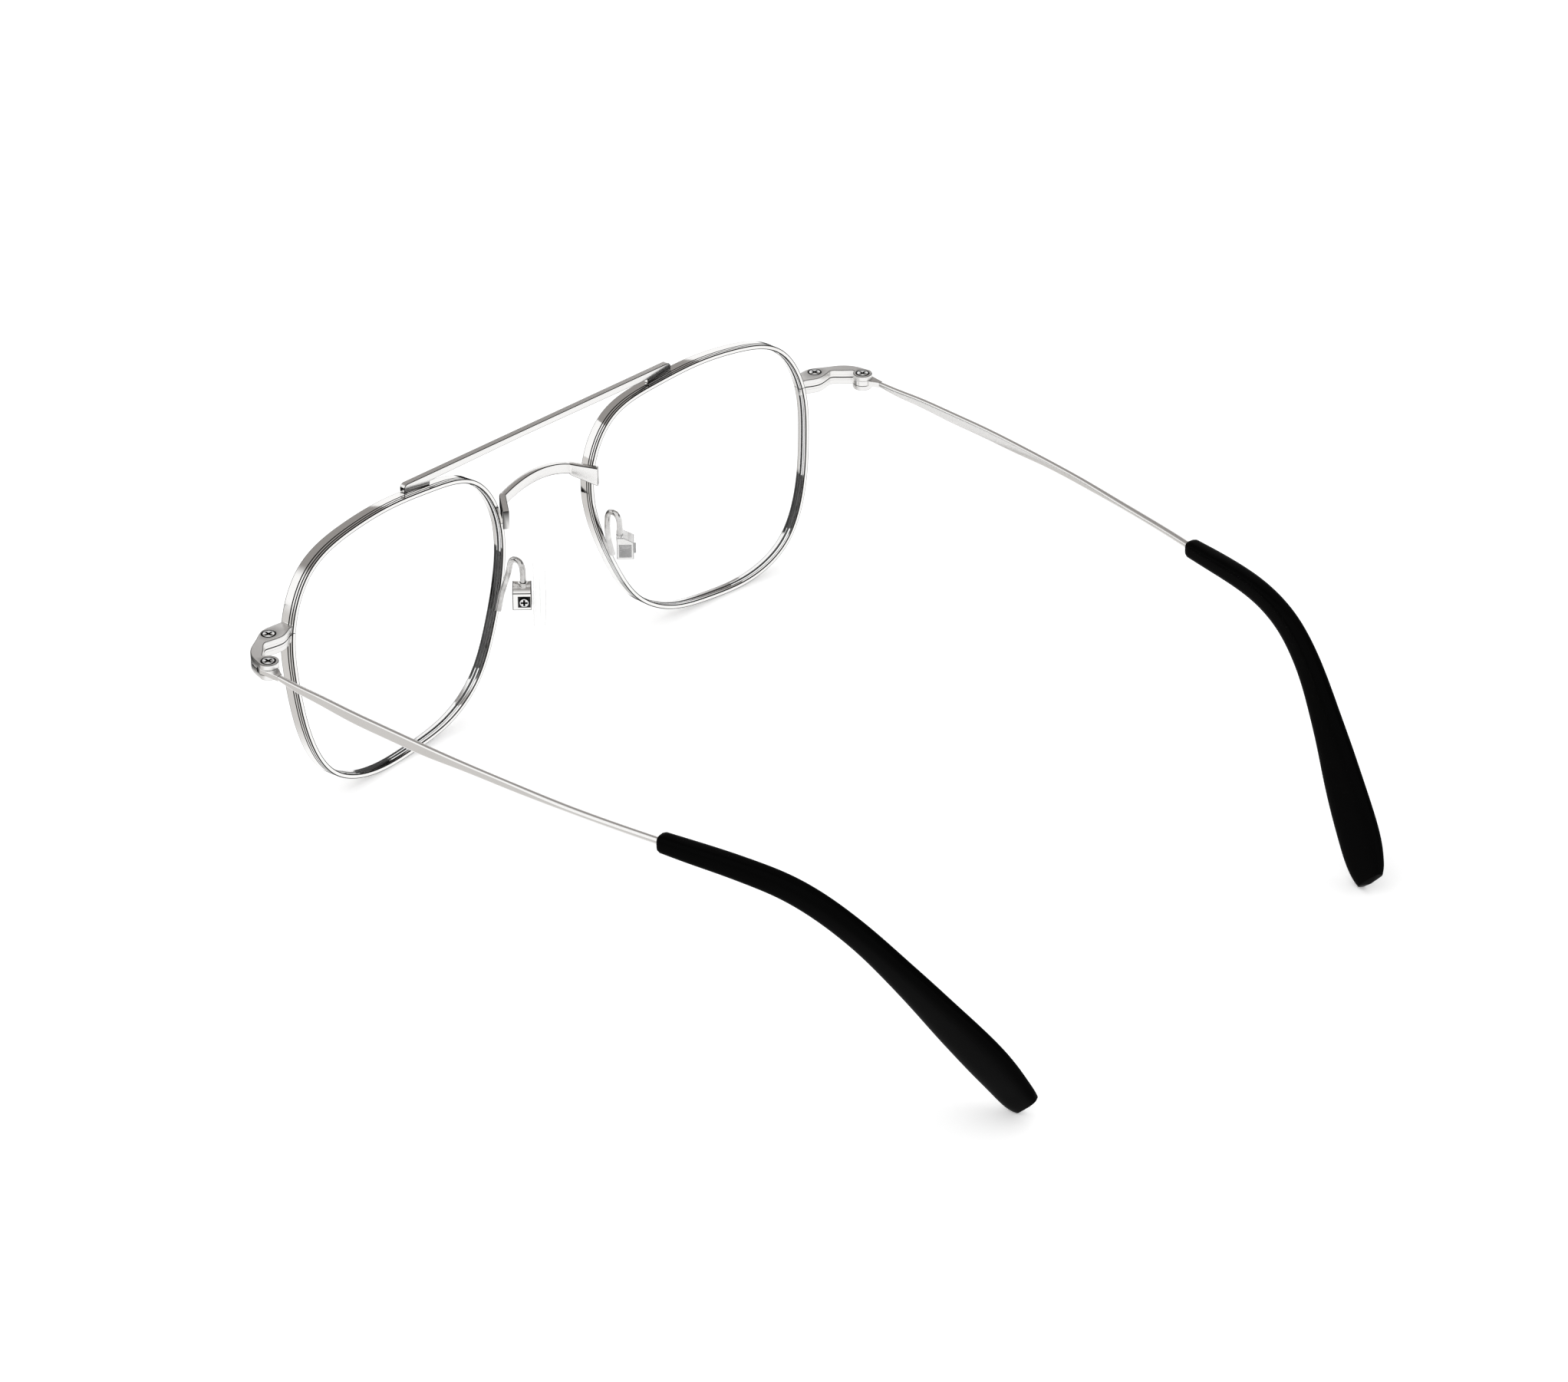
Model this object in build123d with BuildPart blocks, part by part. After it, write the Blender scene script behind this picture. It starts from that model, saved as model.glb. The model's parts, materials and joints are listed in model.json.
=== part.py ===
from build123d import *
from math import cos, radians, sin
import os

os.makedirs("parts", exist_ok=True)

# Double bridge glasses, standing open on their rim bottoms and tip ends.
# +Z is up, the lenses face -Y, the temples run back to +Y, and X = 0 is the mirror plane.
# The wearer's left is +X. Every left piece is modelled, then mirrored for the right.
# Sizes are in millimetres and degrees. "Out" is measured from the rims' nose sides, "back"
# from the rims' fronts and "above middle" from half the rims' height.
overrun = 5.0

# Frame: lens size, gap between the rims, wrap and tilt of the front, place of the hinges
rim_width = 48.6
rim_height = 44.66
rim_gap = 20.0
rim_depth = 2.7
rim_wall = 0.75
wrap_angle = 4.0
tilt_angle = 3.8
hinge_above_middle = 9.65
hinge_back = 8.6

# Rim: a squarish oval, its points as shares of half the width and half the height
outline_shares = [
    (0.992, 0.0), (0.977, 0.44), (0.766, 0.831), (0.371, 0.975),
    (0.0, 1.0), (-0.37, 0.968), (-0.776, 0.846), (-0.992, 0.447),
    (-0.965, 0.0), (-0.841, -0.378), (-0.656, -0.717), (-0.352, -0.926),
    (0.002, -0.989), (0.377, -0.988), (0.745, -0.814), (0.934, -0.423),
]
oval_places = 32
lens_groove_depth = 0.35
lens_groove_width = 0.9
line_width = 0.13
line_depth = 0.1
first_line_from_front = 1.6
second_line_from_front = 2.12
rim_split = 0.12

# Lens
lens_clearance = 0.05
lens_thickness = 1.5
lens_front_inset = 0.15
lens_radius = 480.0

# Top bar and its feet
bar_end_from_rim_middle = 4.5
bar_above_rim = 1.09
bar_end_height = 1.35
bar_middle_height = 1.0
bar_depth = 1.1
bar_front = 1.7
bar_end_radius = 0.8
foot_length = 5.0
foot_height = 1.3
foot_end_inset = 0.4
foot_depth = 0.85

# Lower bridge and its tabs
bridge_end_inset = 2.8
bridge_above_middle = 10.77
bridge_height = 1.85
bridge_rise = 1.6
bridge_thickness = 1.1
bridge_front = 2.75
tab_reach = 2.75
tab_back = 3.6
tab_thickness = 1.0
tab_above_middle = 8.67
tab_height = 3.3

# Pad arm: a wire along the rear of the rim, up, over and down into the pad box
arm_diameter = 0.95
arm_root_above_middle = -5.33
arm_root_out = 3.05
arm_root_back = 1.9
arm_apex_above_middle = 4.32
arm_apex_out = 1.0
arm_apex_front = 3.2
arm_apex_back = 5.85
arm_bend_radius = 1.15
arm_lean_shares = [0.32, 0.66]
arm_lean_out_shares = [0.44, 0.89]
arm_lean_back_shares = [0.0, 0.55]

# Pad box, open towards the nose, and the screw through it
pad_angle = 45.0
box_out = 1.5
box_centre_back = 6.6
box_above_middle = -1.73
box_depth = 2.8
box_height = 3.1
box_front = 1.15
box_back = 1.9
box_wall = 0.45
box_shoulder = 0.9
box_shoulder_top_share = 0.6
pad_screw_head_radius = 0.85
pad_screw_head_height = 0.35
pad_screw_shank_radius = 0.45

# Nose pad and the hard plate inside it, whose lug turns on the pad screw
core_thickness = 0.7
core_width = 4.2
core_height = 6.8
core_corner_share = 0.33
lug_width = 1.4
lug_radius = 0.85
pad_gap = 0.35
pad_thickness = 2.0
pad_width = 7.8
pad_height = 12.2
pad_edge = 0.55
pad_outline_shares = [
    (-0.13, 0.58), (-0.38, 0.44), (-0.48, 0.16), (-0.45, -0.15), (-0.27, -0.34),
    (0.06, -0.42), (0.40, -0.37), (0.52, -0.21), (0.36, 0.05), (0.17, 0.36),
]

# End piece: a block on the rim and a thin arc that ends in the knuckles
end_piece_height = 2.65
end_piece_reach = 9.0
end_piece_overlap = 0.7
end_piece_front_inset = 1.1
outer_edge_shares = [
    (-1.1, -1.0), (-0.77, -0.975), (-0.56, -0.907), (-0.267, -0.737),
    (-0.096, -0.573), (0.053, -0.325),
]
inner_edge_shares = [
    (-0.05, -0.26), (-0.2, -0.427), (-0.333, -0.613), (-0.456, -0.58),
    (-0.644, -0.533), (-0.778, -0.547), (-0.967, -0.673), (-1.1, -0.7),
]
knuckle_radius = 1.65
eye_height = 0.9
eye_end_clearance = 0.04
eye_side_clearance = 0.15

# Hinge screw and closing screw
screw_head_radius = 1.1
screw_head_height = 0.45
screw_shank_radius = 0.6
screw_clearance = 0.03
cross_width = 0.32
cross_length = 1.5
cross_depth = 0.28
closing_screw_shares = (-0.6, -0.82667)

# Temple: blade, then round wire, bowed inwards on a parabola
temple_reach = 133.9
blade_thickness = 0.9
blade_height = 2.25
wire_diameter = 1.15
neck_offset = 0.8
straight_length = 6.0
temple_bow = 7.5
neck_length = 3.5
neck_inner_share = 0.33
blade_corner_share = 0.3
wire_corner_share = 0.49
blade_shares = [
    (0.045, 0.0, 0.4), (0.098, -0.07, 0.73), (0.15, -0.04, 0.81), (0.25, -0.08, 1.0),
    (0.353, -0.04, 0.94), (0.452, -0.03, 0.87), (0.552, 0.04, 0.66), (0.655, 0.05, 0.6),
]
wire_shares = [(0.776, 0.03), (0.948, 0.05), (1.12, 0.05)]

# Temple tip: sleeve, bend and flat end. Each station has shares of the way back from the
# tip's front, of the inset, of the hinge height, of the width and of the thickness
tip_length = 56.2
tip_inset = 26.0
tip_width = 8.5
tip_thickness = 2.9
tip_corner_share = 0.45
tip_shares = [
    (0.0, 0.262, 1.002, 0.34, 0.9), (0.095, 0.3, 1.006, 0.365, 1.0),
    (0.19, 0.341, 1.009, 0.39, 1.0), (0.285, 0.387, 1.004, 0.415, 0.98),
    (0.362, 0.433, 0.987, 0.441, 0.96), (0.444, 0.488, 0.943, 0.481, 0.93),
    (0.519, 0.549, 0.871, 0.519, 0.9), (0.588, 0.615, 0.778, 0.57, 0.87),
    (0.652, 0.683, 0.67, 0.655, 0.84), (0.716, 0.753, 0.554, 0.775, 0.81),
    (0.778, 0.823, 0.434, 0.905, 0.785), (0.842, 0.893, 0.313, 0.995, 0.76),
    (0.902, 0.956, 0.192, 0.98, 0.72), (0.935, 0.992, 0.117, 0.86, 0.62),
    (0.963, 1.02, 0.062, 0.64, 0.5),
]

# Places that follow from the sizes
nose_side = rim_gap / 2
middle = rim_height / 2
hinge_x = nose_side + rim_width + end_piece_reach - end_piece_overlap
hinge_y = (hinge_back + bridge_front - temple_reach) / 2
hinge_height = middle + hinge_above_middle
front_y = hinge_y - hinge_back
rim_up = Vector(0, 0, 1).rotate(Axis.X, tilt_angle)
rim_out = Vector(cos(radians(wrap_angle)), sin(radians(wrap_angle)), 0).rotate(Axis.X, tilt_angle)
rim_centre = Vector(
    nose_side + rim_width / 2 * cos(radians(wrap_angle)), front_y, middle * cos(radians(tilt_angle))
)
rim_front = Plane(origin=rim_centre, x_dir=rim_out, z_dir=rim_out.cross(rim_up))


def oval(inset):
    """The rim's oval with every place on it moved inwards by an inset."""
    points = [(u * rim_width / 2, v * rim_height / 2) for u, v in outline_shares]
    with BuildLine(Plane.XY, mode=Mode.PRIVATE) as outline:
        Spline(*points, periodic=True)
    moved = []
    for index in range(oval_places):
        inward = (outline.line % (index / oval_places)).rotate(Axis.Z, 90)
        moved.append(outline.line @ (index / oval_places) + inward * inset)
    with BuildSketch(Plane.XY, mode=Mode.PRIVATE) as face:
        with BuildLine():
            Spline(*moved, periodic=True)
        make_face()
    return face.sketch


def section_planes(places):
    """A plane square to the path at each of its places, its x axis across the blade."""
    planes = []
    for index, place in enumerate(places):
        heading = places[min(index + 1, len(places) - 1)] - places[max(index - 1, 0)]
        across = Vector(1, 0, 0).cross(heading).cross(heading)
        planes.append(Plane(origin=place, x_dir=across, z_dir=heading))
    return planes


def screw(top, head_radius, head_height, shank_radius, length):
    """A cross-head screw with the top of its head on a plane."""
    with BuildPart() as body:
        with BuildSketch(top):
            Circle(head_radius)
        extrude(amount=-head_height)
        with BuildSketch(top.offset(-head_height)):
            Circle(shank_radius)
        extrude(amount=head_height - length)
        with BuildSketch(top):
            Rectangle(cross_length * head_radius / screw_head_radius, cross_width)
            Rectangle(cross_width, cross_length * head_radius / screw_head_radius)
        extrude(amount=-cross_depth, mode=Mode.SUBTRACT)
    return body


# The rim's outer shape without its hole, which cuts the seats of what is soldered to it
with BuildPart() as rim_block:
    with BuildSketch(rim_front):
        add(oval(0))
    extrude(amount=-rim_depth)

# Left rim: band with a lens groove inside, two fine lines outside and a split at the seam
with BuildPart() as rim_left:
    with BuildSketch(rim_front):
        add(oval(0))
        add(oval(rim_wall), mode=Mode.SUBTRACT)
    extrude(amount=-rim_depth)
    with BuildSketch(rim_front.offset((lens_groove_width - rim_depth) / 2)):
        add(oval(rim_wall - lens_groove_depth))
    extrude(amount=-lens_groove_width, mode=Mode.SUBTRACT)
    for line_from_front in (first_line_from_front, second_line_from_front):
        with BuildSketch(rim_front.offset(-line_from_front)):
            add(oval(-overrun))
            add(oval(line_depth), mode=Mode.SUBTRACT)
        extrude(amount=-line_width, mode=Mode.SUBTRACT)
    with BuildSketch(Plane.XY.offset(hinge_height - rim_split / 2)):
        with Locations((rim_centre.X + rim_width / 2, rim_centre.Y)):
            Rectangle(rim_width / 4, rim_width / 2)
    extrude(amount=rim_split, mode=Mode.SUBTRACT)

# Left lens: slightly domed forwards, with a tongue in the rim's groove
tongue_width = lens_groove_width - 2 * lens_clearance
with BuildPart() as lens_left:
    with BuildSketch(rim_front):
        add(oval(rim_wall + lens_clearance))
    extrude(amount=-rim_depth)
    with BuildSketch(rim_front.offset((tongue_width - rim_depth) / 2)):
        add(oval(rim_wall - lens_groove_depth + lens_clearance))
    extrude(amount=-tongue_width)
    with Locations(rim_front.offset(-lens_front_inset - lens_radius)):
        Sphere(lens_radius, mode=Mode.INTERSECT)
    with Locations(rim_front.offset(-lens_front_inset - lens_thickness - lens_radius)):
        Sphere(lens_radius, mode=Mode.SUBTRACT)

# Top bar: flat on top, thinner in the middle, round-ended, with a foot on each rim
bar_half_length = nose_side + rim_width / 2 - bar_end_from_rim_middle
bar_top = rim_height + bar_above_rim
bar_front_y = front_y - bar_front
bar_end_bottom = bar_top - bar_end_height
foot_middle = bar_half_length - foot_end_inset - foot_length / 2
with BuildPart() as top_bar:
    with BuildSketch(Plane.XZ.offset(-bar_front_y)) as bar_face:
        with BuildLine():
            Polyline(
                (-bar_half_length, bar_end_bottom),
                (-bar_half_length, bar_top),
                (bar_half_length, bar_top),
                (bar_half_length, bar_end_bottom),
            )
            ThreePointArc(
                (bar_half_length, bar_end_bottom),
                (0, bar_top - bar_middle_height),
                (-bar_half_length, bar_end_bottom),
            )
        make_face()
        fillet(bar_face.vertices().group_by(Axis.Y)[-1], radius=bar_end_radius)
    extrude(amount=-bar_depth)
    with BuildSketch(Plane.XZ.offset(-(bar_front_y + bar_depth - foot_depth))):
        with Locations(
            (foot_middle, bar_end_bottom - foot_height / 2 + bar_end_height / 4),
            (-foot_middle, bar_end_bottom - foot_height / 2 + bar_end_height / 4),
        ):
            Rectangle(foot_length, foot_height + bar_end_height / 2)
    extrude(amount=-foot_depth)
    add(rim_block.part, mode=Mode.SUBTRACT)
    mirror(rim_block.part, about=Plane.YZ, mode=Mode.SUBTRACT)

# Lower bridge: an arched strip whose ends turn back as tabs along the rims
bridge_front_y = front_y - bridge_front
bridge_rear_y = bridge_front_y + bridge_thickness
bridge_half_span = nose_side - bridge_end_inset
bridge_bottom = middle + bridge_above_middle
bridge_top = bridge_bottom + bridge_height
tab_bottom = middle + tab_above_middle
tab_top = tab_bottom + tab_height
tab_end_x = bridge_half_span + tab_reach
tab_length = (tab_reach**2 + tab_back**2) ** 0.5
tab_side_x = tab_thickness * tab_back / tab_length
tab_side_y = -tab_thickness * tab_reach / tab_length
elevation_end = tab_end_x + tab_thickness
with BuildPart() as bridge:
    with BuildSketch(Plane.XY.offset(tab_bottom - overrun)):
        with BuildLine():
            Polyline(
                (0, bridge_front_y),
                (bridge_half_span + tab_side_x, bridge_front_y),
                (nose_side + tab_thickness, bridge_rear_y + tab_thickness / 2),
                (tab_end_x + tab_side_x, bridge_rear_y + tab_back + tab_side_y),
                (tab_end_x, bridge_rear_y + tab_back),
                (bridge_half_span, bridge_rear_y),
                (0, bridge_rear_y),
                close=True,
            )
        make_face()
        mirror(about=Plane.YZ)
    extrude(amount=bridge_height + bridge_rise + 2 * overrun)
    with BuildSketch(Plane.XZ.offset(-(bridge_front_y - overrun))):
        with BuildLine():
            ThreePointArc(
                (-bridge_half_span, bridge_top),
                (0, bridge_top + bridge_rise),
                (bridge_half_span, bridge_top),
            )
            Polyline(
                (bridge_half_span, bridge_top),
                (elevation_end, tab_top),
                (elevation_end, tab_bottom),
                (bridge_half_span, bridge_bottom),
            )
            ThreePointArc(
                (bridge_half_span, bridge_bottom),
                (0, bridge_bottom + bridge_rise),
                (-bridge_half_span, bridge_bottom),
            )
            Polyline(
                (-bridge_half_span, bridge_bottom),
                (-elevation_end, tab_bottom),
                (-elevation_end, tab_top),
                (-bridge_half_span, bridge_top),
            )
        make_face()
    extrude(amount=-(bridge_thickness + tab_back + 2 * overrun), mode=Mode.INTERSECT)
    add(rim_block.part, mode=Mode.SUBTRACT)
    mirror(rim_block.part, about=Plane.YZ, mode=Mode.SUBTRACT)

# Pad box: its x axis runs against the screw's, its y axis up and its z axis to the nose
screw_axis = Vector(sin(radians(pad_angle)), cos(radians(pad_angle)), 0)
nose_axis = Vector(-cos(radians(pad_angle)), sin(radians(pad_angle)), 0)
box_centre = Vector(nose_side + box_out, front_y + box_centre_back, middle + box_above_middle)
box_plane = Plane(origin=box_centre, x_dir=-screw_axis, z_dir=nose_axis)
screw_plane = Plane(origin=box_centre, x_dir=nose_axis, z_dir=screw_axis)

# Left pad arm
arm_root = Vector(nose_side + arm_root_out, front_y + arm_root_back, middle + arm_root_above_middle)
arm_rise = arm_apex_above_middle - arm_root_above_middle
arm_points = [arm_root]
for up_share, out_share, back_share in zip(arm_lean_shares, arm_lean_out_shares, arm_lean_back_shares):
    out_step = (arm_apex_out - arm_root_out) * out_share
    back_step = (arm_apex_front - arm_root_back) * back_share
    arm_points.append(arm_root + Vector(out_step, back_step, arm_rise * up_share))
arm_apex = Vector(nose_side + arm_apex_out, front_y + arm_apex_front, middle + arm_apex_above_middle)
arm_turn = Vector(arm_apex.X, front_y + arm_apex_back, arm_apex.Z)
arm_end = Vector(arm_turn.X, arm_turn.Y, box_centre.Z + box_height / 2)
arm_points += [arm_apex, arm_turn, arm_end]
arm_radii = [2 * arm_bend_radius, 2 * arm_bend_radius, arm_bend_radius, arm_bend_radius]
with BuildPart() as pad_arm_left:
    with BuildLine() as arm_line:
        FilletPolyline(*arm_points, radius=arm_radii)
    with BuildSketch(Plane(origin=arm_line.line @ 0, z_dir=arm_line.line % 0)):
        Circle(arm_diameter / 2)
    sweep()
    add(rim_block.part, mode=Mode.SUBTRACT)

# Left pad box: a shoulder meets the arm, and a pocket takes the pad's lug
arm_entry = (box_centre - arm_end).dot(screw_axis)
shoulder_half = box_shoulder_top_share * arm_diameter
with BuildPart() as pad_box_left:
    with BuildSketch(box_plane.offset(-box_back)):
        with BuildLine():
            Polyline(
                (-box_depth / 2, -box_height / 2),
                (box_depth / 2, -box_height / 2),
                (box_depth / 2, box_height / 2),
                (arm_entry + shoulder_half, box_height / 2 + box_shoulder),
                (arm_entry - shoulder_half, box_height / 2 + box_shoulder),
                (-box_depth / 2, box_height / 2),
                close=True,
            )
        make_face()
    extrude(amount=box_back + box_front)
    with BuildSketch(box_plane.offset(box_front)):
        Rectangle(box_depth - 2 * box_wall, box_height - 2 * box_wall)
    extrude(amount=box_wall - box_back - box_front, mode=Mode.SUBTRACT)
    with BuildSketch(screw_plane):
        Circle(pad_screw_shank_radius + screw_clearance)
    extrude(amount=box_depth, both=True, mode=Mode.SUBTRACT)
    add(pad_arm_left.part, mode=Mode.SUBTRACT)

pad_screw_left = screw(
    screw_plane.offset(box_depth / 2 + pad_screw_head_height),
    pad_screw_head_radius,
    pad_screw_head_height,
    pad_screw_shank_radius,
    box_depth + pad_screw_head_height,
)

# Left nose pad core: a plate with a lug that turns on the pad screw inside the box
pad_plane = box_plane.offset(box_front + pad_gap)
with BuildPart() as nose_pad_core_left:
    with BuildSketch(pad_plane.offset(core_thickness / 2)):
        RectangleRounded(core_width, core_height, core_corner_share * core_width)
    extrude(amount=core_thickness)
    with BuildSketch(pad_plane.offset(core_thickness / 2)):
        Rectangle(lug_width, 2 * lug_radius)
    extrude(amount=-(box_front + pad_gap + core_thickness / 2))
    with BuildSketch(screw_plane):
        Circle(lug_radius)
    extrude(amount=lug_width / 2, both=True)
    with BuildSketch(screw_plane):
        Circle(pad_screw_shank_radius + screw_clearance)
    extrude(amount=box_depth, both=True, mode=Mode.SUBTRACT)

# Left nose pad: a soft drop-shaped pad moulded round the core
with BuildPart() as nose_pad_left:
    with BuildSketch(pad_plane):
        with BuildLine():
            Spline(*[(-a * pad_width, b * pad_height) for a, b in pad_outline_shares], periodic=True)
        make_face()
    extrude(amount=pad_thickness)
    chamfer(nose_pad_left.faces().sort_by(Axis(box_centre, nose_axis))[-1].edges(), length=pad_edge)
    add(nose_pad_core_left.part, mode=Mode.SUBTRACT)

# End piece: both halves share one plan and meet at the seam
end_piece_front = hinge_back - end_piece_front_inset
closing_x = hinge_x + closing_screw_shares[0] * end_piece_reach
closing_y = hinge_y + closing_screw_shares[1] * end_piece_front
outer_edge = [
    (hinge_x + u * end_piece_reach, hinge_y + v * end_piece_front) for u, v in outer_edge_shares
]
inner_edge = [
    (hinge_x + u * end_piece_reach, hinge_y + v * end_piece_front) for u, v in inner_edge_shares
]
outer_edge.append((hinge_x + knuckle_radius, hinge_y))


def end_piece_half(side):
    """One half of the end piece, above the seam for 1 and below it for -1."""
    with BuildPart() as half:
        with BuildSketch(Plane.XY.offset(hinge_height)):
            with BuildLine():
                Spline(*outer_edge, tangents=[(1, 0), (0, 1)])
                Polyline(outer_edge[-1], (hinge_x, hinge_y), *inner_edge, outer_edge[0])
            make_face()
            with Locations((hinge_x, hinge_y)):
                Circle(knuckle_radius)
        extrude(amount=side * end_piece_height / 2)
        with BuildSketch(Plane.XY.offset(hinge_height)):
            with Locations((hinge_x, hinge_y)):
                Circle(knuckle_radius + eye_side_clearance)
        extrude(amount=side * (eye_height / 2 + eye_end_clearance), mode=Mode.SUBTRACT)
        with BuildSketch(Plane.XY.offset(hinge_height)):
            with Locations((hinge_x, hinge_y), (closing_x, closing_y)):
                Circle(screw_shank_radius + screw_clearance)
        extrude(amount=side * end_piece_height / 2, mode=Mode.SUBTRACT)
        if side > 0:
            with BuildSketch(Plane.XY.offset(hinge_height + end_piece_height / 2)):
                with Locations((hinge_x, hinge_y), (closing_x, closing_y)):
                    Circle(screw_head_radius + screw_clearance)
            extrude(amount=-screw_head_height, mode=Mode.SUBTRACT)
        add(rim_block.part, mode=Mode.SUBTRACT)
    return half


end_piece_upper_left = end_piece_half(1)
end_piece_lower_left = end_piece_half(-1)


def end_piece_screw(x, y):
    """A screw that runs down through both halves of the end piece."""
    top = Plane(origin=(x, y, hinge_height + end_piece_height / 2))
    return screw(top, screw_head_radius, screw_head_height, screw_shank_radius, end_piece_height)


hinge_screw_left = end_piece_screw(hinge_x, hinge_y)
closing_screw_left = end_piece_screw(closing_x, closing_y)


tip_from_hinge = temple_reach - tip_length


def temple_place(back_share, rise_share):
    """A place on the temple's middle line: straight at first, then a parabola inwards."""
    back = back_share * tip_from_hinge
    bend = max(back - straight_length, 0) / (tip_from_hinge - straight_length)
    return Vector(
        hinge_x + neck_offset - temple_bow * bend**2,
        hinge_y + back,
        hinge_height + rise_share * blade_height,
    )


# Left temple: eye on the hinge screw, wedge neck, blade and wire, whose end is in the tip
blade_places = [temple_place(back, rise) for back, rise, height in blade_shares]
wire_places = [temple_place(back, rise) for back, rise in wire_shares]
temple_planes = section_planes(blade_places + wire_places)
with BuildPart() as temple_left:
    for plane, (back, rise, height) in zip(temple_planes, blade_shares):
        with BuildSketch(plane):
            RectangleRounded(blade_thickness, height * blade_height, blade_thickness * blade_corner_share)
    for plane in temple_planes[len(blade_shares):]:
        with BuildSketch(plane):
            RectangleRounded(wire_diameter, wire_diameter, wire_diameter * wire_corner_share)
    loft()
    with BuildSketch(Plane.XY.offset(hinge_height - eye_height / 2)):
        with BuildLine():
            Polyline(
                (hinge_x + knuckle_radius, hinge_y),
                (hinge_x + neck_offset + blade_thickness / 2, hinge_y + neck_length),
                (hinge_x + neck_offset - blade_thickness / 2, hinge_y + neck_length),
                (hinge_x - neck_inner_share * knuckle_radius, hinge_y + knuckle_radius),
                (hinge_x, hinge_y),
                close=True,
            )
        make_face()
        with Locations((hinge_x, hinge_y)):
            Circle(knuckle_radius)
    extrude(amount=eye_height)
    with BuildSketch(Plane.XY.offset(hinge_height - eye_height)):
        with Locations((hinge_x, hinge_y)):
            Circle(screw_shank_radius + screw_clearance)
    extrude(amount=2 * eye_height, mode=Mode.SUBTRACT)

# Left temple tip: a sleeve over the wire that bends down and ends in a flat paddle
tip_places = [
    Vector(
        hinge_x - inset * tip_inset,
        hinge_y + tip_from_hinge + back * tip_length,
        height * hinge_height,
    )
    for back, inset, height, width, thickness in tip_shares
]
with BuildPart() as temple_tip_left:
    for plane, (back, inset, height, width, thickness) in zip(section_planes(tip_places), tip_shares):
        with BuildSketch(plane):
            RectangleRounded(
                thickness * tip_thickness,
                width * tip_width,
                thickness * tip_thickness * tip_corner_share,
            )
    loft()
    add(temple_left.part, mode=Mode.SUBTRACT)

# Write the two middle pieces, then each left piece and its mirror image
for name, piece in {"top_bar": top_bar, "bridge": bridge}.items():
    piece.part.label = name
    export_step(piece.part, f"parts/{name}.step")

left_pieces = {
    "rim": rim_left,
    "lens": lens_left,
    "pad_arm": pad_arm_left,
    "pad_box": pad_box_left,
    "pad_screw": pad_screw_left,
    "nose_pad_core": nose_pad_core_left,
    "nose_pad": nose_pad_left,
    "end_piece_upper": end_piece_upper_left,
    "end_piece_lower": end_piece_lower_left,
    "hinge_screw": hinge_screw_left,
    "closing_screw": closing_screw_left,
    "temple": temple_left,
    "temple_tip": temple_tip_left,
}
for name, left in left_pieces.items():
    left.part.label = f"{name}_left"
    export_step(left.part, f"parts/{name}_left.step")
    with BuildPart() as right:
        mirror(left.part, about=Plane.YZ)
    right.part.label = f"{name}_right"
    export_step(right.part, f"parts/{name}_right.step")
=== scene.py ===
import json
import math

import bmesh
import bpy
import numpy as np
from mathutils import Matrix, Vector


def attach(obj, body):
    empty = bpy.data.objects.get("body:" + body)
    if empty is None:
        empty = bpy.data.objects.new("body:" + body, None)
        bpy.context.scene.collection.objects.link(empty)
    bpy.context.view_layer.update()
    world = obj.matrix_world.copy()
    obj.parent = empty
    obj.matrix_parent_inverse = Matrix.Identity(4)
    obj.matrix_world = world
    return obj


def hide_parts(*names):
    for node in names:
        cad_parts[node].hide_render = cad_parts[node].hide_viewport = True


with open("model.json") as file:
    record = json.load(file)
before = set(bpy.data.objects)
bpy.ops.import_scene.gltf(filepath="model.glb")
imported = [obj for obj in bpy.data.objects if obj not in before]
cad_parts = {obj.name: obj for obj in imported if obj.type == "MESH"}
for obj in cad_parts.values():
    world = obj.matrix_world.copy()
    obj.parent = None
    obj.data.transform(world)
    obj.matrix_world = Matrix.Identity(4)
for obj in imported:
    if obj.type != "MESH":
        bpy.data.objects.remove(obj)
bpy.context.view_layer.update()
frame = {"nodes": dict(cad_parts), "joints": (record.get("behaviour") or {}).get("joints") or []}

# Double bridge glasses. Sizes are in millimetres and angles in degrees, until a mesh is made.
# +Z is up, the lenses face -Y, and the wearer's left is +X. Each side piece is worked out
# for the left and mirrored for the right.
METRES = 0.001
SIDES = {"left": 1.0, "right": -1.0}
UPRIGHT_AXES = ((0.0, 0.0, 1.0), (1.0, 0.0, 0.0), (0.0, 1.0, 0.0))

# Camera
camera_place = (443.9, 408.4, 387.2)
camera_azimuth = 46.29
camera_elevation = 31.04
camera_lens = 104.05
camera_sensor = 36.0
camera_clip = (50.0, 20000.0)

# Frame front. The points of the rim's oval are shares of half its width and half its height
rim_width = 48.6
rim_height = 44.66
rim_gap = 20.0
rim_depth = 2.7
rim_wall = 0.75
wrap_angle = 4.0
tilt_angle = 3.8
hinge_to_rim = 8.6
outline_shares = [
    (0.992, 0.0), (0.977, 0.44), (0.766, 0.831), (0.371, 0.975),
    (0.0, 1.0), (-0.37, 0.968), (-0.776, 0.846), (-0.992, 0.447),
    (-0.965, 0.0), (-0.841, -0.378), (-0.656, -0.717), (-0.352, -0.926),
    (0.002, -0.989), (0.377, -0.988), (0.745, -0.814), (0.934, -0.423),
]
rim_places = 900
rim_edge = 0.13
rim_edge_fade = 0.04
rim_split = 0.12
groove_inset = 0.4
groove_front = 0.9
groove_back = 1.8
line_starts = (1.6, 2.12)
line_width = 0.16
line_depth = 0.1
line_lip = 0.03

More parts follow.
